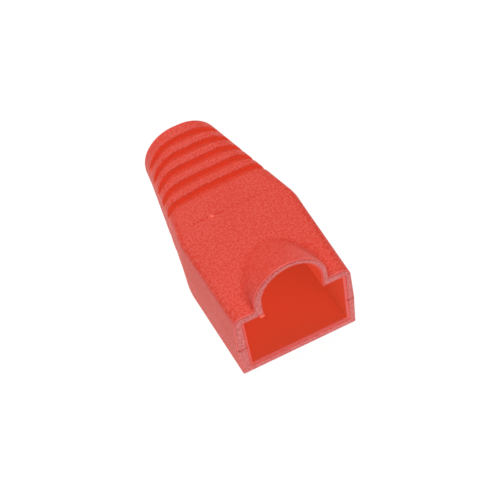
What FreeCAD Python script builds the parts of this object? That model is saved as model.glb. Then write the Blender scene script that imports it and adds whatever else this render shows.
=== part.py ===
import FreeCAD, Part
import Sketcher
import math
import os

# One moulded strain relief boot: a flat-bottomed sleeve that slips over the rear
# of an 8-way plug and tapers to a round neck that grips the cable.
# X is the width, Y runs from the mouth (minus) to the cable end (plus), Z is up.

doc = FreeCAD.newDocument("boot_model")

# ---------------------------------------------------------------- driving sizes
SIZES = {
    # outer form
    "overall_length": 30.0,
    "mouth_width": 14.15,
    "kink_width": 14.75,
    "body_height": 9.35,
    "straight_length": 13.2,
    "parting_height": 4.2,
    "side_lean": 0.14,
    "mouth_edge_radius": 1.2,
    "kink_edge_radius": 0.9,
    "bottom_edge_radius": 0.3,
    "rim_chamfer": 0.22,
    # round neck end
    "neck_width": 9.7,
    "neck_height": 9.35,
    "neck_flat": 0.25,
    "neck_lean": 0.02,
    # latch hump
    "arch_inner_radius": 3.55,
    "arch_wall": 0.8,
    "arch_rise": 0.92,
    "hump_run": 8.4,
    "hump_bury": 0.8,
    # plug pocket, wire chamber and cable bore
    "pocket_width": 11.9,
    "pocket_height": 7.05,
    "floor_thickness": 1.1,
    "lead_in": 0.23,
    "pocket_depth": 11.4,
    "chamber_width": 9.8,
    "chamber_height": 5.2,
    "chamber_end": 14.7,
    "throat_end": 18.4,
    "throat_width": 5.4,
    "bore_diameter": 6.0,
    "bore_chamfer": 0.4,
    # flex grooves
    "groove_first": 18.95,
    "groove_pitch": 2.21,
    "groove_width": 1.06,
    "groove_depth": 0.85,
    "groove_side_depth": 0.35,
    "core_edge_radius": 0.2,
    "web_height": 3.1,
}
GROOVE_COUNT = 5

sheet = doc.addObject("Spreadsheet::Sheet", "Sizes")
for row, (name, number) in enumerate(SIZES.items(), start=1):
    sheet.set("A%d" % row, name)
    sheet.set("B%d" % row, "%g" % number)
    sheet.setAlias("B%d" % row, name)
doc.recompute()

# Lengths that follow from the driving sizes, as formulas of their names.
MOUTH = "-overall_length / 2"
RIM = "-overall_length / 2 + rim_chamfer"
KINK = "-overall_length / 2 + straight_length"
TIP = "overall_length / 2"
AXIS = "neck_height / 2"
NECK_RADIUS = "(neck_height - neck_flat) / 2"
ROOF = "(floor_thickness + pocket_height)"
ARCH_OUTER = "(arch_inner_radius + arch_wall)"
HUMP_OVER = "(arch_rise + arch_inner_radius + arch_wall)"
SPRING = "(body_height + arch_rise)"


def on_sheet(formula):
    """Write a formula of size names as an expression on the sheet."""
    words = []
    for word in formula.replace("(", "( ").replace(")", " )").split():
        sign = "-" if word.startswith("-") and len(word) > 1 else ""
        plain = word[len(sign):]
        words.append(sign + ("Sizes." + plain if plain in SIZES else plain))
    return " ".join(words)


def number_of(formula):
    """Work out a formula of size names in a spare cell of the sheet."""
    sheet.set("D1", "=" + formula)
    sheet.recompute()
    return float(sheet.get("D1"))


def new_sketch(body, name, role, offset, lift="0"):
    """Sketch on an origin plane of the body, moved off it and lifted in it."""
    sketch = body.newObject("Sketcher::SketchObject", name)
    base = next(item for item in body.Origin.OriginFeatures if item.Role == role)
    sketch.AttachmentSupport = [(base, "")]
    sketch.MapMode = "FlatFace"
    sketch.setExpression("AttachmentOffset.Base.z", on_sheet(offset))
    sketch.setExpression("AttachmentOffset.Base.y", on_sheet(lift))
    return sketch


def across(body, name, station, lift="0"):
    """Sketch square to the length at a station; its local axes are X and Z."""
    return new_sketch(body, name, "XZ_Plane", "-1 * ( " + station + " )", lift)


def bind(sketch, kind, refs, name, formula):
    """Add a dimension to a sketch and tie it to a formula of sizes."""
    index = sketch.addConstraint(Sketcher.Constraint(kind, *refs, number_of(formula)))
    sketch.renameConstraint(index, name)
    sketch.setExpression("Constraints." + name, on_sheet(formula))


def join(sketch, kind, pairs):
    """Join the end of one element to the start of the next, in each pair."""
    for first, second in pairs:
        sketch.addConstraint(Sketcher.Constraint(kind, first, 2, second, 1))


def line(x0, y0, x1, y1):
    """Straight element from one point to the other."""
    return Part.LineSegment(FreeCAD.Vector(x0, y0, 0), FreeCAD.Vector(x1, y1, 0))


def arc(x, y, radius, start, end):
    """Arc about a centre, anticlockwise between two angles in degrees."""
    circle = Part.Circle(FreeCAD.Vector(x, y, 0), FreeCAD.Vector(0, 0, 1), radius)
    return Part.ArcOfCircle(circle, math.radians(start), math.radians(end))


def tilt(height, radius, lean):
    """Angle in degrees of a wall that leans by lean up to its edge radius."""
    angle = 0.0
    for _ in range(30):
        angle = math.atan2(lean, height - radius * (1 - math.sin(angle)))
    return math.degrees(angle)


def section(body, name, station, half, height, parting, lean, top, bottom, lift="0"):
    """Closed section: flat top and bottom, four rounded edges, and two sides
    that lean in above and below the parting line."""
    sketch = across(body, name, station, lift)
    a = number_of(half)
    h = number_of(height)
    p = number_of(parting)
    d = number_of(lean)
    rt = number_of(top)
    rb = number_of(bottom)
    up = tilt(h - p, rt, d)
    down = tilt(p, rb, d)
    xt = a - d - rt * math.cos(math.radians(up))
    xb = a - d - rb * math.cos(math.radians(down))
    zt = h - rt + rt * math.sin(math.radians(up))
    zb = rb - rb * math.sin(math.radians(down))
    sketch.addGeometry([
        line(-xb, 0, xb, 0),
        arc(xb, rb, rb, -90, -down),
        line(a - d, zb, a, p),
        line(a, p, a - d, zt),
        arc(xt, h - rt, rt, up, 90),
        line(xt, h, -xt, h),
        arc(-xt, h - rt, rt, 90, 180 - up),
        line(-a + d, zt, -a, p),
        line(-a, p, -a + d, zb),
        arc(-xb, rb, rb, 180 + down, 270),
    ])
    join(sketch, "Tangent", [(0, 1), (1, 2), (3, 4), (4, 5), (5, 6), (6, 7), (8, 9), (9, 0)])
    join(sketch, "Coincident", [(2, 3), (7, 8)])
    sketch.addConstraint(Sketcher.Constraint("Horizontal", 0))
    sketch.addConstraint(Sketcher.Constraint("Horizontal", 5))
    sketch.addConstraint(Sketcher.Constraint("PointOnObject", 0, 1, -1))
    bind(sketch, "DistanceY", (-1, 1, 5, 1), "height", height)
    bind(sketch, "DistanceX", (-1, 1, 2, 2), "half_right", half)
    bind(sketch, "DistanceX", (7, 2, -1, 1), "half_left", half)
    bind(sketch, "DistanceY", (-1, 1, 2, 2), "parting_right", parting)
    bind(sketch, "DistanceY", (-1, 1, 7, 2), "parting_left", parting)
    bind(sketch, "Radius", (1,), "edge_bottom_right", bottom)
    bind(sketch, "Radius", (9,), "edge_bottom_left", bottom)
    bind(sketch, "Radius", (4,), "edge_top_right", top)
    bind(sketch, "Radius", (6,), "edge_top_left", top)
    bind(sketch, "DistanceX", (2, 1, 2, 2), "lean_low_right", lean)
    bind(sketch, "DistanceX", (3, 2, 3, 1), "lean_high_right", lean)
    bind(sketch, "DistanceX", (7, 2, 7, 1), "lean_high_left", lean)
    bind(sketch, "DistanceX", (8, 1, 8, 2), "lean_low_left", lean)
    return sketch


def arch(body, name, station, radius, spring, leg):
    """Closed arch: two upright legs below a half circle."""
    sketch = across(body, name, station)
    r = number_of(radius)
    s = number_of(spring)
    g = number_of(leg)
    sketch.addGeometry([
        line(-r, s - g, r, s - g),
        line(r, s - g, r, s),
        arc(0, s, r, 0, 180),
        line(-r, s, -r, s - g),
    ])
    join(sketch, "Coincident", [(0, 1), (3, 0)])
    join(sketch, "Tangent", [(1, 2), (2, 3)])
    sketch.addConstraint(Sketcher.Constraint("Horizontal", 0))
    sketch.addConstraint(Sketcher.Constraint("Vertical", 1))
    sketch.addConstraint(Sketcher.Constraint("Vertical", 3))
    sketch.addConstraint(Sketcher.Constraint("PointOnObject", 2, 3, -2))
    bind(sketch, "DistanceY", (-1, 1, 2, 3), "spring", spring)
    bind(sketch, "Radius", (2,), "radius", radius)
    bind(sketch, "DistanceY", (1, 1, 1, 2), "leg", leg)
    return sketch


def rectangle(sketch, left, right, low, high, tag=""):
    """Closed upright rectangle between four bound lines of a sketch."""
    first = sketch.GeometryCount
    x0 = number_of(left)
    x1 = number_of(right)
    y0 = number_of(low)
    y1 = number_of(high)
    sketch.addGeometry([
        line(x0, y0, x1, y0),
        line(x1, y0, x1, y1),
        line(x1, y1, x0, y1),
        line(x0, y1, x0, y0),
    ])
    join(sketch, "Coincident", [(first + k, first + (k + 1) % 4) for k in range(4)])
    for k in (0, 2):
        sketch.addConstraint(Sketcher.Constraint("Horizontal", first + k))
        sketch.addConstraint(Sketcher.Constraint("Vertical", first + k + 1))
    bind(sketch, "DistanceX", (-1, 1, first, 1), "left" + tag, left)
    bind(sketch, "DistanceX", (-1, 1, first, 2), "right" + tag, right)
    bind(sketch, "DistanceY", (-1, 1, first, 1), "low" + tag, low)
    bind(sketch, "DistanceY", (-1, 1, first + 2, 1), "high" + tag, high)


def loft(body, kind, name, profile, target):
    """Straight-ruled loft from one section to the next."""
    feature = body.newObject("PartDesign::" + kind, name)
    feature.Profile = profile
    feature.Sections = target
    feature.Ruled = True
    body.Tip = feature
    return feature


boot = doc.addObject("PartDesign::Body", "boot")
boot.Label = "boot"

# ------------------------------------------------------------------ outer skin
# The sleeve is nearly parallel to the kink, then every side runs straight to
# the round end, so the section turns from a rounded rectangle into a circle.
# The mouth's outer edge is bevelled on the sides and top.
rim_rest = ("body_height - rim_chamfer", "parting_height", "side_lean",
            "mouth_edge_radius", "bottom_edge_radius")
mouth_rest = ("body_height", "parting_height", "side_lean",
              "mouth_edge_radius", "bottom_edge_radius")
kink_rest = ("body_height", "parting_height", "side_lean",
             "kink_edge_radius", "bottom_edge_radius")
neck_rest = ("neck_height", AXIS, "neck_lean", NECK_RADIUS, NECK_RADIUS)
rim = section(boot, "rim_section", MOUTH, "mouth_width / 2 - rim_chamfer", *rim_rest)
mouth = section(boot, "mouth_section", RIM, "mouth_width / 2", *mouth_rest)
kink = section(boot, "kink_section", KINK, "kink_width / 2", *kink_rest)
tip = section(boot, "tip_section", TIP, "neck_width / 2", *neck_rest)
loft(boot, "AdditiveLoft", "sleeve", rim, [mouth, kink, tip])
doc.recompute()

# ---------------------------------------------------------------- flex grooves
# Five slots above and five below are sunk into the neck and stop at a web
# along each side. A slimmer neck core laid back inside sets their depth, which
# runs out towards the webs so that the halves of the mould draw freely.
GROOVE_NEAR = "-overall_length / 2 + groove_first - groove_width / 2"
GROOVE_FAR = "-overall_length / 2 + groove_first + groove_width / 2"
slots = new_sketch(boot, "slot_pair", "YZ_Plane", "0")
rectangle(slots, GROOVE_NEAR, GROOVE_FAR,
          AXIS + " + web_height / 2", "neck_height + body_height", "_top")
rectangle(slots, GROOVE_NEAR, GROOVE_FAR,
          "-1 * body_height", AXIS + " - web_height / 2", "_under")
slot_cut = boot.newObject("PartDesign::Pocket", "slots")
slot_cut.Profile = slots
slot_cut.Type = "ThroughAll"
slot_cut.Midplane = True
boot.Tip = slot_cut
doc.recompute()

slot_row = boot.newObject("PartDesign::LinearPattern", "slot_row")
slot_row.Originals = [slot_cut]
slot_row.Direction = (slots, ["H_Axis"])
slot_row.Occurrences = GROOVE_COUNT
slot_row.setExpression("Length", on_sheet("groove_pitch * %d" % (GROOVE_COUNT - 1)))
boot.Tip = slot_row
doc.recompute()

core_body = ("body_height - 2 * groove_depth", "parting_height - groove_depth", "side_lean",
             "core_edge_radius", "core_edge_radius", "groove_depth")
core_neck = ("neck_height - 2 * groove_depth", AXIS + " - groove_depth", "neck_lean",
             NECK_RADIUS + " - groove_depth", NECK_RADIUS + " - groove_depth", "groove_depth")
core_kink = section(boot, "core_kink", KINK, "kink_width / 2 - groove_side_depth", *core_body)
core_tip = section(boot, "core_tip", TIP, "neck_width / 2 - groove_side_depth", *core_neck)
loft(boot, "AdditiveLoft", "neck_core", core_kink, [core_tip])
doc.recompute()

# ------------------------------------------------------------------ latch hump
# A half-round hood over the plug's latch: tall at the mouth, its ridge slopes
# down in a straight line until it sinks into the flat top.
HUMP_END = "-overall_length / 2 + hump_run * ( %s + hump_bury ) / %s" % (HUMP_OVER, HUMP_OVER)
HUMP_LEG = SPRING + " - " + ROOF
hump_rim = arch(boot, "hump_rim", MOUTH, ARCH_OUTER + " - rim_chamfer", SPRING, HUMP_LEG)
hump_front = arch(boot, "hump_front", RIM, ARCH_OUTER,
                  SPRING + " - rim_chamfer * " + HUMP_OVER + " / hump_run", HUMP_LEG)
hump_back = arch(boot, "hump_back", HUMP_END, ARCH_OUTER,
                 "body_height - hump_bury - " + ARCH_OUTER, HUMP_LEG)
loft(boot, "AdditiveLoft", "hump", hump_rim, [hump_front, hump_back])
doc.recompute()

# ---------------------------------------------------------------------- cavity
# The tunnel under the hump keeps an even wall and runs down into the pocket.
TUNNEL_DROP = "( %s + arch_inner_radius - %s + lead_in )" % (SPRING, ROOF)
TUNNEL_END = "-overall_length / 2 + hump_run * %s / %s" % (TUNNEL_DROP, HUMP_OVER)
tunnel_front = arch(boot, "tunnel_front", MOUTH, "arch_inner_radius", SPRING,
                    HUMP_LEG + " + lead_in")
tunnel_back = arch(boot, "tunnel_back", TUNNEL_END, "arch_inner_radius",
                   ROOF + " - lead_in - arch_inner_radius", "lead_in")
loft(boot, "SubtractiveLoft", "tunnel", tunnel_front, [tunnel_back])
doc.recompute()

# The rear of the plug sits in a square-cornered pocket with a flared mouth.
pocket = across(boot, "pocket_outline", MOUTH)
rectangle(pocket, "-pocket_width / 2", "pocket_width / 2", "floor_thickness", ROOF)
pocket_cut = boot.newObject("PartDesign::Pocket", "plug_pocket")
pocket_cut.Profile = pocket
pocket_cut.setExpression("Length", on_sheet("pocket_depth"))
boot.Tip = pocket_cut

flare_front = across(boot, "flare_front", MOUTH)
rectangle(flare_front, "-pocket_width / 2 - lead_in", "pocket_width / 2 + lead_in",
          "floor_thickness - lead_in", ROOF + " + lead_in")
flare_back = across(boot, "flare_back", MOUTH + " + lead_in")
rectangle(flare_back, "-pocket_width / 2", "pocket_width / 2", "floor_thickness", ROOF)
loft(boot, "SubtractiveLoft", "flare", flare_front, [flare_back])
doc.recompute()

# Behind the plug a lower chamber takes the wires and narrows to the cable.
chamber = new_sketch(boot, "chamber_plan", "XY_Plane", AXIS)
x_wide = number_of("chamber_width / 2")
x_slim = number_of("throat_width / 2")
y_open = number_of("-overall_length / 2 + pocket_depth - lead_in")
y_bend = number_of("-overall_length / 2 + chamber_end")
y_last = number_of("-overall_length / 2 + throat_end")
outline = [(-x_wide, y_open), (x_wide, y_open), (x_wide, y_bend),
           (x_slim, y_last), (-x_slim, y_last), (-x_wide, y_bend)]
chamber.addGeometry([line(*outline[k], *outline[(k + 1) % 6]) for k in range(6)])
join(chamber, "Coincident", [(k, (k + 1) % 6) for k in range(6)])
chamber.addConstraint(Sketcher.Constraint("Horizontal", 0))
chamber.addConstraint(Sketcher.Constraint("Vertical", 1))
chamber.addConstraint(Sketcher.Constraint("Vertical", 5))
chamber.addConstraint(Sketcher.Constraint("Symmetric", 1, 2, 4, 2, -2))
chamber.addConstraint(Sketcher.Constraint("Symmetric", 3, 1, 3, 2, -2))
bind(chamber, "DistanceX", (5, 1, 1, 2), "wide", "chamber_width")
bind(chamber, "DistanceX", (3, 2, 3, 1), "slim", "throat_width")
bind(chamber, "DistanceY", (0, 1, -1, 1), "open_end", "overall_length / 2 - pocket_depth + lead_in")
bind(chamber, "DistanceY", (1, 2, -1, 1), "bend", "overall_length / 2 - chamber_end")
bind(chamber, "DistanceY", (-1, 1, 3, 1), "last", "-overall_length / 2 + throat_end")
chamber_cut = boot.newObject("PartDesign::Pocket", "wire_chamber")
chamber_cut.Profile = chamber
chamber_cut.Midplane = True
chamber_cut.setExpression("Length", on_sheet("chamber_height"))
boot.Tip = chamber_cut
doc.recompute()

# The round cable bore, with a small flare where the cable leaves.
bore = new_sketch(boot, "bore_profile", "YZ_Plane", "0", AXIS)
r = number_of("bore_diameter / 2")
c = number_of("bore_chamfer")
y_tip = number_of(TIP)
outline = [(y_bend, 0), (y_tip, 0), (y_tip, r + c), (y_tip - c, r), (y_bend, r)]
bore.addGeometry([line(*outline[k], *outline[(k + 1) % 5]) for k in range(5)])
join(bore, "Coincident", [(k, (k + 1) % 5) for k in range(5)])
bore.addConstraint(Sketcher.Constraint("Horizontal", 3))
bore.addConstraint(Sketcher.Constraint("Vertical", 1))
bore.addConstraint(Sketcher.Constraint("Vertical", 4))
bore.addConstraint(Sketcher.Constraint("PointOnObject", 0, 1, -1))
bore.addConstraint(Sketcher.Constraint("PointOnObject", 0, 2, -1))
bind(bore, "DistanceX", (-1, 1, 0, 1), "start", "-overall_length / 2 + chamber_end")
bind(bore, "DistanceX", (-1, 1, 0, 2), "finish", TIP)
bind(bore, "DistanceY", (-1, 1, 3, 1), "radius", "bore_diameter / 2")
bind(bore, "DistanceY", (3, 1, 2, 1), "flare", "bore_chamfer")
bind(bore, "DistanceX", (3, 1, 2, 1), "flare_depth", "bore_chamfer")
bore_cut = boot.newObject("PartDesign::Groove", "cable_bore")
bore_cut.Profile = bore
bore_cut.ReferenceAxis = (bore, ["H_Axis"])
bore_cut.Angle = 360
boot.Tip = bore_cut
doc.recompute()

# ---------------------------------------------------------------------- export
sheet.clear("D1")
doc.recompute()
for item in doc.Objects:
    if "Invalid" in item.State or "Error" in item.State:
        raise RuntimeError("feature failed: " + item.Name)
    if item.isDerivedFrom("PartDesign::Feature"):
        if item.Shape.isNull() or not item.Shape.isValid():
            raise RuntimeError("bad shape: " + item.Name)
if len(boot.Shape.Solids) != 1:
    raise RuntimeError("the boot is not one solid")

os.makedirs("parts", exist_ok=True)
boot.Shape.exportStep("parts/boot.step")
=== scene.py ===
import bmesh
import bpy
import numpy as np
from mathutils import Matrix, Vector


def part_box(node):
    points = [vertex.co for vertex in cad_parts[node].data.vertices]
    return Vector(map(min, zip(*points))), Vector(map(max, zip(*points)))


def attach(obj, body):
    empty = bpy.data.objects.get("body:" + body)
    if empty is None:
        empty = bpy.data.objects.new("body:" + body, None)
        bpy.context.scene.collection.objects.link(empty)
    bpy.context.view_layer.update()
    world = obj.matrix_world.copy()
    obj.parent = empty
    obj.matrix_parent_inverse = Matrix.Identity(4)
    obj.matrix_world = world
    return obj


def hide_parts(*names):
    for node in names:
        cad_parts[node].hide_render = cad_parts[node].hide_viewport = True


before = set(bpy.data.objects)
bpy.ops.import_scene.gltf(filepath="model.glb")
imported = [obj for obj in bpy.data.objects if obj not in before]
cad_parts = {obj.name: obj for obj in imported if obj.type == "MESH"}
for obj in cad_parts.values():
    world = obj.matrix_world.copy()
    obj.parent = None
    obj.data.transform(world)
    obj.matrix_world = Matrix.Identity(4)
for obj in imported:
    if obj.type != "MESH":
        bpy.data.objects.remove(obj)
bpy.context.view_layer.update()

# ------------------------------------------------------------------ the boot
# A slip-on strain relief boot in one shot of soft PVC. Two mould halves that
# part along the sides form its skin, a core pin drawn out of the mouth forms
# the plug pocket, and another drawn out of the neck the cable bore.

# Sizes are in millimetres, with X across, Y from the mouth to the tip and Z up
# from the flat bottom. The sides run straight from the mouth to the kink and
# taper from there to a round neck. The latch hood is an arch on upright legs.
corner_low, corner_high = (1000 * np.array(corner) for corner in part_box("boot"))
MOUTH, TIP = corner_low[1], corner_high[1]
HALF_KINK = corner_high[0]
HALF_MOUTH = HALF_KINK - 0.3
HALF_NECK = 4.85
KINK, KINK_SOFT = MOUTH + 13.2, 0.9
TOP = 9.35
AXIS = TOP / 2
PARTING = 4.2
HOOD_RADIUS, HOOD_RISE, HOOD_LENGTH = 4.35, 0.92, 8.4
HOOD_SPRING = TOP + HOOD_RISE
HOOD_SLOPE = (HOOD_RISE + HOOD_RADIUS) / HOOD_LENGTH


def ramp(t, soft):
    """Zero below -soft, t above soft, and between them the parabola that
    joins them, which is (t + soft) squared over 4 soft."""
    return np.where(t > soft, t, np.where(t < -soft, 0.0, (t + soft) ** 2 / (4 * soft)))


def along(y, at_mouth, at_kink, at_tip):
    """A size that runs straight from mouth to kink and from kink to tip,
    with the kink rounded over KINK_SOFT to each side."""
    fore = ramp(KINK - y, KINK_SOFT) / (KINK - MOUTH)
    aft = ramp(y - KINK, KINK_SOFT) / (TIP - KINK)
    return at_kink + (at_mouth - at_kink) * fore + (at_tip - at_kink) * aft


def straight(first, last, count):
    """Points on the line first + t (last - first), without its end."""
    t = np.arange(count) / count
    return np.stack([a[:, None] + (b - a)[:, None] * t for a, b in zip(first, last)], -1)


def curved(x, z, radius, start, finish, count):
    """Points on the arc centre + radius (cos, sin), without its end."""
    angle = start[:, None] + (finish - start)[:, None] * np.arange(count) / count
    return np.stack([x[:, None] + radius[:, None] * np.cos(angle),
                     z[:, None] + radius[:, None] * np.sin(angle)], -1)


def side_tilt(height, radius, lean):
    """Angle of a side that leans by lean up to the start of its edge radius:
    its tangent is lean / (height - radius (1 - sin angle)). Put back into
    its own formula 12 times, the angle settles."""
    angle = np.zeros_like(height)
    for _ in range(12):
        angle = np.arctan2(lean, height - radius * (1 - np.sin(angle)))
    return angle


# How many points each stretch of the half section gets, and where among them
# the hood's foot, the middle of each rounded edge and the mould's seam come.
ON_ARCH, ON_LEG, ON_FILLET, ON_FLAT, ON_EDGE, ON_SIDE = 80, 12, 24, 40, 60, 24
FOOT = ON_ARCH + ON_LEG + ON_FILLET // 2
SHOULDER = ON_ARCH + ON_LEG + ON_FILLET + ON_FLAT + ON_EDGE // 2
SEAM = SHOULDER + ON_EDGE // 2 + ON_SIDE
HEM = SEAM + ON_SIDE + ON_EDGE // 2
CORNERS = [SHOULDER, SEAM - 2, SEAM, SEAM + 2, HEM]


def half_outline(half, floor, top, parting, lean, edge, foot_edge, arch, spring, fillet):
    """Right half of the section at each station, from crown to bottom centre:
    arch, upright leg, fillet at its foot, flat, rounded edge, side above and
    below the parting line, lower rounded edge and bottom. The arch's centre
    stands at the height spring, and arch, fillet, edge and foot_edge are
    radii. Returns the points and how much the outline turns, in radians,
    over each step."""
    zero = np.zeros_like(half)
    quarter = zero + np.pi / 2
    turn = np.arcsin(np.clip((top + fillet - spring) / (arch + fillet), 0, 1))
    foot_x = (arch + fillet) * np.cos(turn)
    foot_z = top + fillet
    up = side_tilt(top - parting, edge, lean)
    down = side_tilt(parting - floor, foot_edge, lean)
    edge_x = half - lean - edge * np.cos(up)
    edge_z = top - edge
    low_x = half - lean - foot_edge * np.cos(down)
    low_z = floor + foot_edge
    leg_top = (arch * np.cos(turn), spring + arch * np.sin(turn))
    leg_end = (foot_x - fillet * np.cos(turn), foot_z - fillet * np.sin(turn))
    shoulder = (half - lean, edge_z + edge * np.sin(up))
    waist = (half, parting)
    hem = (half - lean, low_z - foot_edge * np.sin(down))
    runs = [
        (curved(zero, spring, arch, quarter, turn, ON_ARCH), quarter - turn),
        (straight(leg_top, leg_end, ON_LEG), zero),
        (curved(foot_x, foot_z, fillet, np.pi + turn, 3 * quarter, ON_FILLET), quarter - turn),
        (straight((foot_x, top), (edge_x, top), ON_FLAT), zero),
        (curved(edge_x, edge_z, edge, quarter, up, ON_EDGE), quarter - up),
        (straight(shoulder, waist, ON_SIDE), zero),
        (straight(waist, hem, ON_SIDE), zero),
        (curved(low_x, low_z, foot_edge, -down, -quarter, ON_EDGE), quarter - down),
        (straight((low_x, floor), (zero, floor), ON_FLAT), zero),
    ]
    last = np.stack([zero, floor], -1)[:, None]
    points = np.concatenate([run for run, _ in runs] + [last], axis=1)
    turning = np.concatenate([
        np.repeat(angle[:, None] / run.shape[1], run.shape[1], axis=1) for run, angle in runs
    ], axis=1)
    return points, turning


# Of those points the half section keeps ACROSS. They are spread evenly in
# length plus PER_RADIAN for each radian turned, so a tight edge gets more of
# them than a flat. NEVER_ZERO keeps the measure rising where a run is empty.
ACROSS = 151
PER_RADIAN = 0.6
NEVER_ZERO = 1e-7
even = np.linspace(0, 1, ACROSS)


def measure(points, turning, seam):
    """Running length plus PER_RADIAN times the turning, from 0 to 1, with
    seam millimetres more for each of the four steps at the parting line."""
    step = np.linalg.norm(np.diff(points, axis=1), axis=-1) + PER_RADIAN * turning + NEVER_ZERO
    step[:, SEAM - 2:SEAM + 2] += seam
    total = np.concatenate([np.zeros((len(step), 1)), np.cumsum(step, axis=1)], axis=1)
    return total / total[:, -1:]


def spread(points, share, wanted):
    """Points of each outline at the wanted shares of its measure."""
    rows = [[np.interp(want, have, line[:, k]) for k in (0, 1)]
            for want, have, line in zip(wanted, share, points)]
    return np.moveaxis(np.array(rows), 1, -1)


def outward(points):
    """Unit normals of the half outlines, in the plane of each section: the
    step (dx, dz) along the outline, turned to (-dz, dx)."""
    run = np.gradient(points, axis=1)
    normal = np.stack([-run[..., 1], run[..., 0]], -1)
    normal[:, 0] = (0, 1)
    normal[:, -1] = (0, -1)
    return normal / np.linalg.norm(normal, axis=-1, keepdims=True)


# One flex groove, as places along the boot and depths: a rounded lip, an
# upright wall, a rounded floor, and the same again in mirror image.
GROOVE_PITCH = 2.21
GROOVES = MOUTH + 18.95 + GROOVE_PITCH * np.arange(5)
GROOVE_HALF, GROOVE_DEPTH, LIP_EDGE, FLOOR_EDGE = 0.53, 0.85, 0.14, 0.22
GROOVE_REACH = GROOVE_HALF + LIP_EDGE

bend = np.linspace(0, np.pi / 2, 5)
lip_in = np.stack([-GROOVE_REACH + LIP_EDGE * np.sin(bend), LIP_EDGE - LIP_EDGE * np.cos(bend)])
wall_in = np.stack([np.full(2, -GROOVE_HALF),
                    np.linspace(LIP_EDGE, GROOVE_DEPTH - FLOOR_EDGE, 4)[1:3]])
floor_in = np.stack([-GROOVE_HALF + FLOOR_EDGE - FLOOR_EDGE * np.cos(bend),
                     GROOVE_DEPTH - FLOOR_EDGE + FLOOR_EDGE * np.sin(bend)])
half_groove = np.concatenate([lip_in, wall_in, floor_in], axis=1)
groove = np.concatenate([half_groove, [[0], [GROOVE_DEPTH]],
                         half_groove[:, ::-1] * [[-1], [1]]], axis=1)

# The path of the outer skin from mouth to tip: where each row stands, how deep
# the grooves sink it, and how far the rounded rim and tip draw it in. Rows are
# closer on the hood, at the kink and at the witness line of a mould insert.
BEVEL, TIP_EDGE = 0.22, 0.22
HOOD_END = MOUTH + 9.0
WITNESS, WITNESS_STEP, WITNESS_GAP = MOUTH + 14.7, 0.13, 0.15

rib = np.linspace(GROOVE_REACH, GROOVE_PITCH - GROOVE_REACH, 6)[1:-1]
groove_and_rib = np.concatenate([groove, [rib, 0 * rib]], axis=1)
body_y = np.concatenate([
    np.linspace(MOUTH + BEVEL, HOOD_END, 58)[1:],
    np.linspace(HOOD_END, KINK - KINK_SOFT, 12)[1:],
    np.linspace(KINK - KINK_SOFT, KINK + KINK_SOFT, 11)[1:],
    np.linspace(KINK + KINK_SOFT, WITNESS - WITNESS_GAP, 4)[1:-1],
    WITNESS + WITNESS_STEP * np.array([-1, 0, 1]),
    np.linspace(WITNESS + WITNESS_GAP, GROOVES[0] - GROOVE_REACH, 12)[1:-1],
])
neck_y = (GROOVES[:, None] + groove_and_rib[0]).ravel()[:-len(rib)]
neck_sunk = np.tile(groove_and_rib[1], len(GROOVES))[:-len(rib)]
end_y = np.linspace(GROOVES[-1] + GROOVE_REACH, TIP - TIP_EDGE, 6)[1:-1]

bend = np.linspace(0, np.pi / 2, 6)
outer_y = np.concatenate([MOUTH + BEVEL * (1 - np.cos(bend)), body_y, neck_y, end_y,
                          TIP - TIP_EDGE * (1 - np.sin(bend))])
outer_sunk = np.concatenate([0 * bend, 0 * body_y, neck_sunk, 0 * end_y, 0 * bend])
outer_pull = np.concatenate([BEVEL * (1 - np.sin(bend)), np.zeros(len(outer_y) - 2 * len(bend)),
                             TIP_EDGE * (1 - np.cos(bend))])

# The hood's ridge is level at the rim, falls in a straight line and runs out
# softly on the top. The fillet at its foot widens backwards.
HOOD_LEVEL, HOOD_SOFT = 0.26, 0.2
ridge = HOOD_RISE + HOOD_RADIUS - HOOD_SLOPE * np.maximum(outer_y - MOUTH, HOOD_LEVEL)
hood_spring = TOP - HOOD_RADIUS + ramp(ridge, HOOD_SOFT)
hood_fillet = np.interp(outer_y, MOUTH + np.array([0.2, 5.2]), [0.25, 2.75])

# The sides lean in above and below the parting line. The edges grow to the
# round neck, where their radius stays just under half the height. The rim is
# rounded less over the lowest LOW_RIM_HEIGHT.
LEAN, NECK_LEAN = 0.14, 0.02
RIGHT_EDGE_MOUTH, LEFT_EDGE_MOUTH, EDGE_KINK = 1.2, 0.9, 0.9
FOOT_EDGE_MOUTH, FOOT_EDGE_KINK = 0.15, 0.3
NECK_EDGE = AXIS - 0.125
SEAM_EXTRA = 0.2
LOW_RIM, LOW_RIM_HEIGHT = 0.25, 0.5


def outer_half(edge):
    """Outline of one half of the outer skin at each row, for these radii of
    its upper edge, less the pull along the normals. Returns with it the
    shares of its measure where the corners of the first row come."""
    outline, turning = half_outline(
        half=along(outer_y, HALF_MOUTH, HALF_KINK, HALF_NECK),
        floor=0 * outer_y, top=0 * outer_y + TOP,
        parting=along(outer_y, PARTING, PARTING, AXIS),
        lean=along(outer_y, LEAN, LEAN, NECK_LEAN),
        edge=edge, foot_edge=along(outer_y, FOOT_EDGE_MOUTH, FOOT_EDGE_KINK, NECK_EDGE),
        arch=0 * outer_y + HOOD_RADIUS, spring=hood_spring, fillet=hood_fillet)
    share = measure(outline, turning, SEAM_EXTRA)
    outline = spread(outline, share, np.tile(even, (len(outline), 1)))
    low = LOW_RIM + (1 - LOW_RIM) * np.clip(outline[..., 1] / LOW_RIM_HEIGHT, 0, 1)
    pull = outer_pull[:, None] * np.where(outer_y[:, None] < KINK, low, 1)
    keys = np.array([0, share[0, FOOT], *share[0, CORNERS], 1])
    return outline - outward(outline) * pull[..., None], keys


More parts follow.
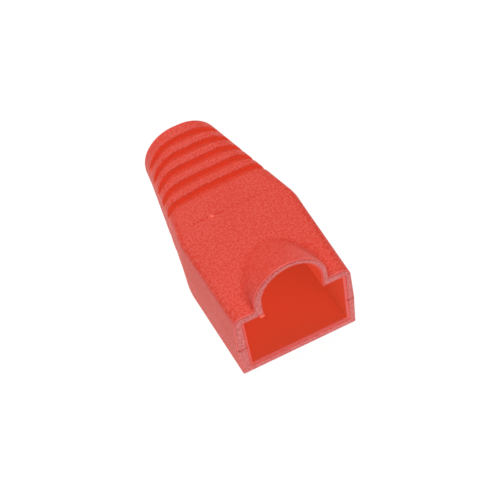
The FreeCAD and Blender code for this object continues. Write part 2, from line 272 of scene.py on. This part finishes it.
# The left shoulder stays crisper than the right on the way to the neck, by
# CRISPER / 4 halfway.
CRISPER = 2.8
tapered = ramp(outer_y - KINK, KINK_SOFT) / (TIP - KINK)
crisper = CRISPER * tapered * (1 - tapered)
outer_right, outer_keys = outer_half(along(outer_y, RIGHT_EDGE_MOUTH, EDGE_KINK, NECK_EDGE))
outer_left, _ = outer_half(along(outer_y, LEFT_EDGE_MOUTH, EDGE_KINK, NECK_EDGE) - crisper)

# The path of the inside from tip to mouth: flared bore, throat, wire chamber,
# plug pocket with the latch tunnel in its roof, and the lead-in of the mouth.
# The throat fans out from the round bore to the chamber. The rounded flare
# and the softened chamfer of the lead-in have five points each.
POCKET_Y, CHAMBER_Y, THROAT_Y = MOUTH + 11.4, MOUTH + 14.7, MOUTH + 18.4
HALF_POCKET, POCKET_FLOOR, POCKET_ROOF, POCKET_EDGE = 5.95, 1.1, 8.15, 0.15
HALF_CHAMBER, CHAMBER_RISE, CHAMBER_EDGE = 4.9, 2.6, 0.3
BORE_RADIUS, FLARE = 3.0, 0.6
TUNNEL_RADIUS, TUNNEL_WIDEN, TUNNEL_SOFT, TUNNEL_FILLET = 3.55, 0.35, 0.05, 0.12
LEAD = 0.23
JUST_UNDER, NEARLY_UPRIGHT = 0.01, 1e-4

flare_y = TIP - np.array([0, 0.08, 0.22, 0.4, FLARE])
flare_r = BORE_RADIUS + np.array([0.4, 0.29, 0.14, 0.03, 0])
bore_y = np.linspace(TIP - FLARE, THROAT_Y, 8)[1:]
throat_y = np.linspace(THROAT_Y, CHAMBER_Y, 8)[1:]
chamber_y = np.linspace(CHAMBER_Y, POCKET_Y, 5)[1:]
pocket_y = np.linspace(POCKET_Y, MOUTH + LEAD + 0.06, 34)
mouth_y = MOUTH + np.array([LEAD - 0.03, LEAD * 0.66, LEAD * 0.33, 0.03, 0])
mouth_widen = LEAD * np.array([0.1, 0.37, 0.68, 0.93, 1.05])

inner_y = np.concatenate([flare_y, bore_y, throat_y, chamber_y, pocket_y, mouth_y])
pocket_row = len(inner_y) - len(pocket_y) - len(mouth_y)
in_pocket = np.arange(len(inner_y)) >= pocket_row
widen = np.concatenate([np.zeros(len(inner_y) - len(mouth_y)), mouth_widen])
round_r = np.concatenate([flare_r, np.full(len(inner_y) - len(flare_y), BORE_RADIUS)])
fan = np.clip((THROAT_Y - inner_y) / (THROAT_Y - CHAMBER_Y), 0, 1)
half = np.where(in_pocket, HALF_POCKET + widen, round_r + fan * (HALF_CHAMBER - round_r))
rise = round_r + fan * (CHAMBER_RISE - round_r)
edge = np.where(in_pocket, POCKET_EDGE, round_r + fan * (CHAMBER_EDGE - round_r) - JUST_UNDER)
roof = np.where(in_pocket, POCKET_ROOF + widen, AXIS + rise)
floor = np.where(in_pocket, POCKET_FLOOR - widen, AXIS - rise)
tunnel_r = TUNNEL_RADIUS + TUNNEL_WIDEN * widen
above_roof = HOOD_SPRING - HOOD_SLOPE * (inner_y - MOUTH) - roof + tunnel_r
inner, turning = half_outline(
    half=half, floor=floor, top=roof,
    parting=np.where(in_pocket, PARTING, (roof + floor) / 2), lean=0 * half + NEARLY_UPRIGHT,
    edge=edge, foot_edge=edge, arch=tunnel_r,
    spring=roof - tunnel_r + np.where(in_pocket, ramp(above_roof, TUNNEL_SOFT), 0),
    fillet=0 * half + TUNNEL_FILLET)

# In the mouth the points inside face those outside, corner to corner, and
# where the tunnel has run out its foot keeps FOOT_LEAST of the way to the
# shoulder. From the throat to the tip they turn into evenly spread ones.
FOOT_LEAST = 0.35
share = measure(inner, turning, 0)
foot_keys = np.maximum(share[:, FOOT], FOOT_LEAST * share[:, SHOULDER])
keys = np.column_stack([0 * half, foot_keys, share[:, CORNERS], 0 * half + 1])
facing = np.array([np.interp(even, outer_keys, key) for key in keys])
blend = np.clip((TIP - 1 - inner_y) / (TIP - 1 - THROAT_Y), 0, 1)[:, None]
inner = spread(inner, share, facing * blend + even * (1 - blend))

# The flat ring at the tip, the step at the back of the pocket and the flat
# front of the rim are ruled from one loop to the next.
RING_LOOPS, STEP_LOOPS, RIM_LOOPS = 2, 2, 4


def ruled(first, last, count):
    """Loops first + t (last - first), for count values of t between 0 and 1."""
    t = np.linspace(0, 1, count + 2)[1:-1, None, None]
    return first + (last - first) * t


def half_grid(outer):
    """Loops of one half, all round from mouth to tip and back inside."""
    sheets = [
        (outer, outer_y),
        (ruled(outer[-1], inner[0], RING_LOOPS), np.full(RING_LOOPS, TIP)),
        (inner[:pocket_row], inner_y[:pocket_row]),
        (ruled(inner[pocket_row - 1], inner[pocket_row], STEP_LOOPS), np.full(STEP_LOOPS, POCKET_Y)),
        (inner[pocket_row:], inner_y[pocket_row:]),
        (ruled(inner[-1], outer[0], RIM_LOOPS), np.full(RIM_LOOPS, MOUTH)),
    ]
    loops = np.concatenate([sheet for sheet, _ in sheets])
    loop_y = np.concatenate([place for _, place in sheets])
    return np.stack([loops[..., 0], np.broadcast_to(loop_y[:, None], loops.shape[:2]),
                     loops[..., 1]], -1)


# The left half is turned over and runs back up from the bottom. The marks of
# the real, slightly uneven moulding are then pressed into the loops.
left = half_grid(outer_left)[:, -2:0:-1] * (-1, 1, 1)
grid = np.concatenate([half_grid(outer_right), left], axis=1)
loop_y = grid[:, 0, 1].copy()
skin = grid[:len(outer_y)]

# The grooves are sunk straight down from above and straight up from below, so
# that the mould draws. Over WEB_FADE of height they run out into a web along
# each side, which is wider on the right.
WEB_RIGHT, WEB_LEFT, WEB_FADE = 2.6, 1.65, 1.6
height = skin[..., 2] - AXIS
web = np.where(skin[..., 0] > 0, WEB_RIGHT, WEB_LEFT)
beyond_web = np.clip((np.abs(height) - web) / WEB_FADE, 0, 1)
skin[..., 2] -= np.sign(height) * outer_sunk[:, None] * beyond_web

# A faint witness line crosses the top where a mould insert ends.
WITNESS_HALF, WITNESS_DEPTH, WITNESS_REACH = 0.1, 0.08, 5.1
on_top = skin[..., 2] > TOP - 0.05
witness = np.clip(1 - np.abs(outer_y - WITNESS) / WITNESS_HALF, 0, 1)[:, None]
skin[..., 2] -= WITNESS_DEPTH * witness * (np.abs(skin[..., 0]) < WITNESS_REACH) * on_top

# The hood runs 5 degrees askew to the right, and the top beside it follows
# out to SWING_REACH.
SWING, SWING_REACH = 0.75, 5.6
swing = np.interp(outer_y, MOUTH + np.array([0.5, 8.5, 11]), [0, SWING, 0])[:, None]
skin[..., 0] += swing * np.clip(1 - (skin[..., 0] / SWING_REACH) ** 2, 0, 1) * on_top

# The core pin of the mouth sits to the right, its left side more so than its
# right and most at the bottom. The wall on its right bulges towards the rim.
CORE_RIGHT, CORE_LEFT, CORE_LOW = 0.12, 0.18, 0.12
BULGE, BULGE_FROM, BULGE_SPAN = 0.1, 1.2, 6
near_rim = np.interp(loop_y, [MOUTH + 0.2, KINK - 3], [1, 0])[:, None]
outside = (np.arange(len(grid)) < len(outer_y))[:, None]
low = np.interp(grid[..., 2], [TOP - 8, TOP], [1, 0])
core = np.where(grid[..., 0] < 0, CORE_LEFT + CORE_LOW * low, CORE_RIGHT)
bulge = BULGE * np.maximum(grid[..., 0] - BULGE_FROM, 0) / BULGE_SPAN
grid[..., 0] += near_rim * np.where(outside, bulge, core)

# A small notch crosses each side of the rim where the halves of the mould meet.
NOTCH_DEPTH, NOTCH_HALF, NOTCH_LENGTH, NOTCH_FROM = 0.22, 0.14, 0.12, 5
notch = np.clip(1 - np.abs(grid[..., 2] - PARTING) / NOTCH_HALF, 0, 1)
in_side = (np.abs(grid[..., 0]) > NOTCH_FROM) * (loop_y[:, None] < MOUTH + NOTCH_LENGTH)
grid[..., 1] += NOTCH_DEPTH * notch * in_side

# The inserts that form the grooves sit askew in the mould, and the left ends
# of the grooves bend towards the mouth.
SLANT_LEFT, SLANT_RIGHT, SLANT_SHIFT = 0.04, 0.02, 0.1
BEND, BEND_FROM, BEND_LENGTH = 0.1, 2.2, 3
askew = np.interp(outer_y, [KINK + 1, KINK + 4, TIP - 1.4, TIP - TIP_EDGE], [0, 1, 1, 0])[:, None]
slant = np.where(skin[..., 0] < 0, SLANT_LEFT, SLANT_RIGHT) * skin[..., 0]
bent = BEND * np.clip(-skin[..., 0] - BEND_FROM, 0, BEND_LENGTH)
skin[..., 1] += askew * (slant - SLANT_SHIFT - bent)

# Every loop is joined to the next and the last to the first, so the skin
# closes on itself like a long ring.
SHARP = np.radians(38)
rows, columns = grid.shape[:2]
index = np.arange(rows * columns).reshape(rows, columns)
quads = np.stack([index, np.roll(index, -1, 1), np.roll(np.roll(index, -1, 0), -1, 1),
                  np.roll(index, -1, 0)], -1)
boot_mesh = bpy.data.meshes.new("boot_skin")
boot_mesh.from_pydata(grid.reshape(-1, 3) / 1000, [], quads.reshape(-1, 4))
boot_mesh.update()
boot_mesh.shade_smooth()
boot_mesh.set_sharp_from_angle(angle=SHARP)

# Which finish each face has, in the order of the materials below. Beside the
# front of the rim comes one row of the skin's finish and then a thin lip with
# a painted highlight along its edge, both inside and out. A groove starts
# where its rounded lip has nearly ended.
SKIN, GROOVE, RIM_FINISH_AND_SHEEN, LIP_HIGHLIGHT, INSIDE = range(5)
EDGE_ROWS, HIGHLIGHT_ROWS = 2, 2
in_groove = outer_sunk[:, None] * (beyond_web > 0.02) > 0.9 * LIP_EDGE
finish = np.zeros((rows, columns), dtype=np.int32)
finish[:len(outer_y)] = np.where(in_groove, GROOVE, SKIN)
finish[len(outer_y) + RING_LOOPS:] = INSIDE
# The lead-in of the mouth carries a painted highlight.
finish[-RIM_LOOPS - len(mouth_y):-RIM_LOOPS - 1] = LIP_HIGHLIGHT
finish[-RIM_LOOPS - 1] = SKIN
# The rim's pale pink is partly its own finish, partly painted sheen.
finish[-RIM_LOOPS:] = RIM_FINISH_AND_SHEEN
finish[:EDGE_ROWS] = RIM_FINISH_AND_SHEEN
# So does the outer edge of the rim, past one row of skin.
finish[EDGE_ROWS + 1:EDGE_ROWS + 1 + HIGHLIGHT_ROWS] = LIP_HIGHLIGHT
boot_mesh.polygons.foreach_set("material_index", finish.ravel())


def linear(code):
    """Linear colour of an sRGB hex code: c / 12.92 when dark, otherwise the
    2.4 power of (c + 0.055) / 1.055."""
    srgb = np.array([int(code[k:k + 2], 16) for k in (1, 3, 5)]) / 255
    value = np.where(srgb <= 0.04045, srgb / 12.92, ((srgb + 0.055) / 1.055) ** 2.4)
    return (*value.tolist(), 1.0)


def node(tree, kind, settings=(), inputs=(), links=()):
    """Add one shader node with its settings, socket values and incoming links."""
    made = tree.nodes.new(kind)
    for name, value in dict(settings).items():
        setattr(made, name, value)
    for name, value in dict(inputs).items():
        made.inputs[name].default_value = value
    for name, source in dict(links).items():
        tree.links.new(source, made.inputs[name])
    return made


# Soft PVC is coloured in the mass and barely glossy. Its index of refraction
# is near 1.5, and a little less gives the right gloss. The greyer red that
# upright sides mix in is a painted shade and sheen, the dimmer, greyer look
# that grazing light gives them, and CLOUD is the size of the broad, faint
# mottling.
IOR = 1.46
CLOUD = 6.0
SIDE_SHADE_AND_SHEEN = "#B3615D"


def soft_pvc(name, deep, pale, roughness, grain, relief, glow="#000000", side_shade_share=0.0):
    """Soft PVC in two close reds. Four times a noise with grains of the given
    size plus one with clouds of CLOUD sets the mix of deep and pale, and the
    grain lifts the surface by relief, all in millimetres. Faces turned aside
    mix in up to the given share of a greyer red, a painted shade and sheen,
    and the emission colour is painted light that stands in for light that
    soaks through thin walls."""
    material = bpy.data.materials.new(name)
    material.use_nodes = True
    tree = material.node_tree
    tree.nodes.clear()
    place = node(tree, "ShaderNodeTexCoord")
    speckle = node(tree, "ShaderNodeTexNoise", inputs={"Scale": 1000 / grain, "Detail": 0.0},
                   links={"Vector": place.outputs["Object"]})
    cloud = node(tree, "ShaderNodeTexNoise", inputs={"Scale": 1000 / CLOUD, "Detail": 2.0},
                 links={"Vector": place.outputs["Object"]})
    both = node(tree, "ShaderNodeMath", {"operation": "MULTIPLY_ADD"}, {1: 4.0},
                {0: speckle.outputs["Fac"], 2: cloud.outputs["Fac"]})
    tone = node(tree, "ShaderNodeMapRange", inputs={"From Min": 1.9, "From Max": 3.1},
                links={"Value": both.outputs["Value"]})
    colour = node(tree, "ShaderNodeMix", {"data_type": "RGBA"},
                  {"A": linear(deep), "B": linear(pale)}, {"Factor": tone.outputs["Result"]})
    # Painted shade and sheen: faces turned aside mix in the greyer red.
    normal = node(tree, "ShaderNodeSeparateXYZ", links={"Vector": place.outputs["Normal"]})
    aside = node(tree, "ShaderNodeMath", {"operation": "ABSOLUTE"}, links={0: normal.outputs["X"]})
    upright = node(tree, "ShaderNodeMapRange",
                   inputs={"From Min": 0.75, "From Max": 1.0, "To Max": side_shade_share},
                   links={"Value": aside.outputs["Value"]})
    side_painted = node(tree, "ShaderNodeMix", {"data_type": "RGBA"}, {"B": linear(SIDE_SHADE_AND_SHEEN)},
                  {"Factor": upright.outputs["Result"], "A": colour.outputs["Result"]})
    bump = node(tree, "ShaderNodeBump", inputs={"Strength": 1.0, "Distance": relief / 1000},
                links={"Height": speckle.outputs["Fac"]})
    # The emission colour is painted light, a glow that no lamp gives.
    shader = node(tree, "ShaderNodeBsdfPrincipled",
                  inputs={"Roughness": roughness, "IOR": IOR,
                          "Emission Color": linear(glow), "Emission Strength": 1.0},
                  links={"Base Color": side_painted.outputs["Result"], "Normal": bump.outputs["Normal"]})
    node(tree, "ShaderNodeOutputMaterial", links={"Surface": shader.outputs["BSDF"]})
    return material


# The mould is spark eroded outside, and its fine pits leave a matt, lightly
# mottled skin with no gloss. The real grain, of about 0.05 mm, is too fine to
# show, so it is drawn some five times as coarse, and so is that of the rim.
# Its upright sides mix in a painted shade and sheen.
boot_mesh.materials.append(soft_pvc(
    "spark-eroded soft PVC", deep="#F33C20", pale="#FD594A", roughness=0.6,
    grain=0.24, relief=0.03, side_shade_share=0.15))

# The inserts that form the grooves are smooth, which gives an even, deep red
# that shines a little, and a faint painted glow stands in for light through
# the thin wall there.
boot_mesh.materials.append(soft_pvc(
    "smooth soft PVC", deep="#F93C26", pale="#FB3E28", roughness=0.5,
    grain=0.6, relief=0.004, glow="#382C1B"))

# The front of the rim, where mould and core pin shut, is a rough, pale pink:
# partly its own finish, partly a painted sheen of the white floor in front.
boot_mesh.materials.append(soft_pvc(
    "matt soft PVC rim with painted sheen", deep="#EA6562", pale="#FF8683", roughness=0.6,
    grain=0.22, relief=0.05))

# The lips beside it are a smooth, bright pink with a painted glow: a painted
# highlight along the edges of the mouth.
boot_mesh.materials.append(soft_pvc(
    "soft PVC lip with painted highlight", deep="#FA6A62", pale="#FF7069", roughness=0.5,
    grain=0.38, relief=0.01, glow="#59161D"))

# The core pins are ground, which leaves smooth, even walls inside. A painted
# glow, standing in for light that soaks through them from outside, makes the
# hollow a warm, full red.
boot_mesh.materials.append(soft_pvc(
    "ground soft PVC inside", deep="#F93C26", pale="#FB3E28", roughness=0.5,
    grain=0.6, relief=0.004, glow="#4B341F"))

boot_skin = bpy.data.objects.new("boot_skin", boot_mesh)
bpy.context.scene.collection.objects.link(boot_skin)
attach(boot_skin, "root")
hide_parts("boot")

# ------------------------------------------------------------ crumbs of flash
# Two crumbs of soft PVC flash, squeezed out where the mould shuts: a nib that
# still hangs on the left foot of the arch, and a curl stuck to the top. Each
# is a ball stretched to its reach and turned by its bearing.
CRUMBS = [((-3.6, -14.87, 8.08), (0.3, 0.12, 0.13), 0.1),
          ((-2.5, -0.45, 9.38), (0.22, 0.16, 0.12), -0.6)]
balls = bmesh.new()
for spot, reach, bearing in CRUMBS:
    place = Matrix.Translation([v / 1000 for v in spot]) @ Matrix.Rotation(bearing, 4, "Z")
    bmesh.ops.create_icosphere(balls, subdivisions=3, radius=0.001,
                               matrix=place @ Matrix.Diagonal((*reach, 1)))
crumb_mesh = bpy.data.meshes.new("flash_crumbs")
balls.to_mesh(crumb_mesh)
balls.free()
crumb_mesh.shade_smooth()

# Flash is thin and pale, and a strong painted glow makes it the brightest
# red of all.
crumb_mesh.materials.append(soft_pvc(
    "pale soft PVC flash", deep="#FF6A58", pale="#FF7F6C", roughness=0.8,
    grain=0.6, relief=0.004, glow="#954538"))

flash_crumbs = bpy.data.objects.new("flash_crumbs", crumb_mesh)
bpy.context.scene.collection.objects.link(flash_crumbs)
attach(flash_crumbs, "root")
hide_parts("boot")

# ------------------------------------------------------------------ the floor
# A plain sheet of white card that the boot lies on, drawn as a dark grey that
# shines white by itself, so that it stays white and throws no red back at the
# boot. Sizes are in metres here. The shine fades from 0.08 to 0.25 out.
FLOOR_HALF, FLOOR_DROP = 0.6, 0.00002
floor_mesh = bpy.data.meshes.new("floor")
floor_mesh.from_pydata([(-FLOOR_HALF, -FLOOR_HALF, 0), (FLOOR_HALF, -FLOOR_HALF, 0),
                        (FLOOR_HALF, FLOOR_HALF, 0), (-FLOOR_HALF, FLOOR_HALF, 0)],
                       [], [(0, 1, 2, 3)])
card = bpy.data.materials.new("white card")
card.use_nodes = True
card_shader = card.node_tree.nodes["Principled BSDF"]
card_shader.inputs["Base Color"].default_value = linear("#3F3F3F")
card_shader.inputs["Roughness"].default_value = 0.9
card_shader.inputs["Emission Color"].default_value = linear("#FFFFFF")
card_place = node(card.node_tree, "ShaderNodeTexCoord")
distance = node(card.node_tree, "ShaderNodeVectorMath", {"operation": "LENGTH"},
                links={0: card_place.outputs["Object"]})
shine = node(card.node_tree, "ShaderNodeMapRange", {"interpolation_type": "SMOOTHSTEP"},
             {"From Min": 0.08, "From Max": 0.25, "To Min": 0.97, "To Max": 0.4},
             {"Value": distance.outputs["Value"]})
card.node_tree.links.new(shine.outputs["Result"], card_shader.inputs["Emission Strength"])
floor_mesh.materials.append(card)
white_floor = bpy.data.objects.new("floor", floor_mesh)
white_floor.location.z = -FLOOR_DROP
bpy.context.scene.collection.objects.link(white_floor)

# ------------------------------------------------------------- studio lights
# An even white surround, one large soft panel above and behind the boot, and
# a smaller, weaker one in front that fills the shade.
surround = bpy.data.worlds.new("studio")
surround.use_nodes = True
surround.node_tree.nodes["Background"].inputs["Color"].default_value = linear("#FFFFFF")
surround.node_tree.nodes["Background"].inputs["Strength"].default_value = 0.22
bpy.context.scene.world = surround
bpy.context.scene.view_settings.view_transform = "Standard"


def soft_panel(name, size, energy, location, rotation):
    """A square area light, with its side in metres and its energy in watts."""
    light = bpy.data.lights.new(name, "AREA")
    light.size = size
    light.energy = energy
    panel = bpy.data.objects.new(name, light)
    panel.location = location
    panel.rotation_euler = rotation
    bpy.context.scene.collection.objects.link(panel)


soft_panel("softbox", 0.5, 1.17, (-0.04, 0.18, 0.35), (-0.35, -0.1, 0))
soft_panel("fill", 0.3, 0.42, (0.02, -0.35, 0.35), (0.785, 0, 0.06))

# ----------------------------------------------------------------- the camera
# A 102 mm lens about 16 cm away, in front and to the left of the mouth. It
# looks down at 50 degrees, with its right side dipped by 11.
LENS, NEAREST = 101.71, 0.005
TURN, TILT, ROLL = np.radians([-18.274, 49.526, -10.567])
AIM, AWAY = np.array([0.33, -2.966, 4.3]) / 1000, 0.159694
back = np.array([np.sin(TURN) * np.cos(TILT), -np.cos(TURN) * np.cos(TILT), np.sin(TILT)])
level = np.array([np.cos(TURN), np.sin(TURN), 0])
steep = np.cross(back, level)
across = np.cos(ROLL) * level + np.sin(ROLL) * steep
upward = np.cos(ROLL) * steep - np.sin(ROLL) * level
pose = np.eye(4)
pose[:3] = np.column_stack([across, upward, back, AIM + AWAY * back])
camera = bpy.data.objects.new("camera", bpy.data.cameras.new("camera"))
camera.data.lens = LENS
camera.data.clip_start = NEAREST
camera.matrix_world = Matrix(pose.tolist())
bpy.context.scene.collection.objects.link(camera)
bpy.context.scene.camera = camera
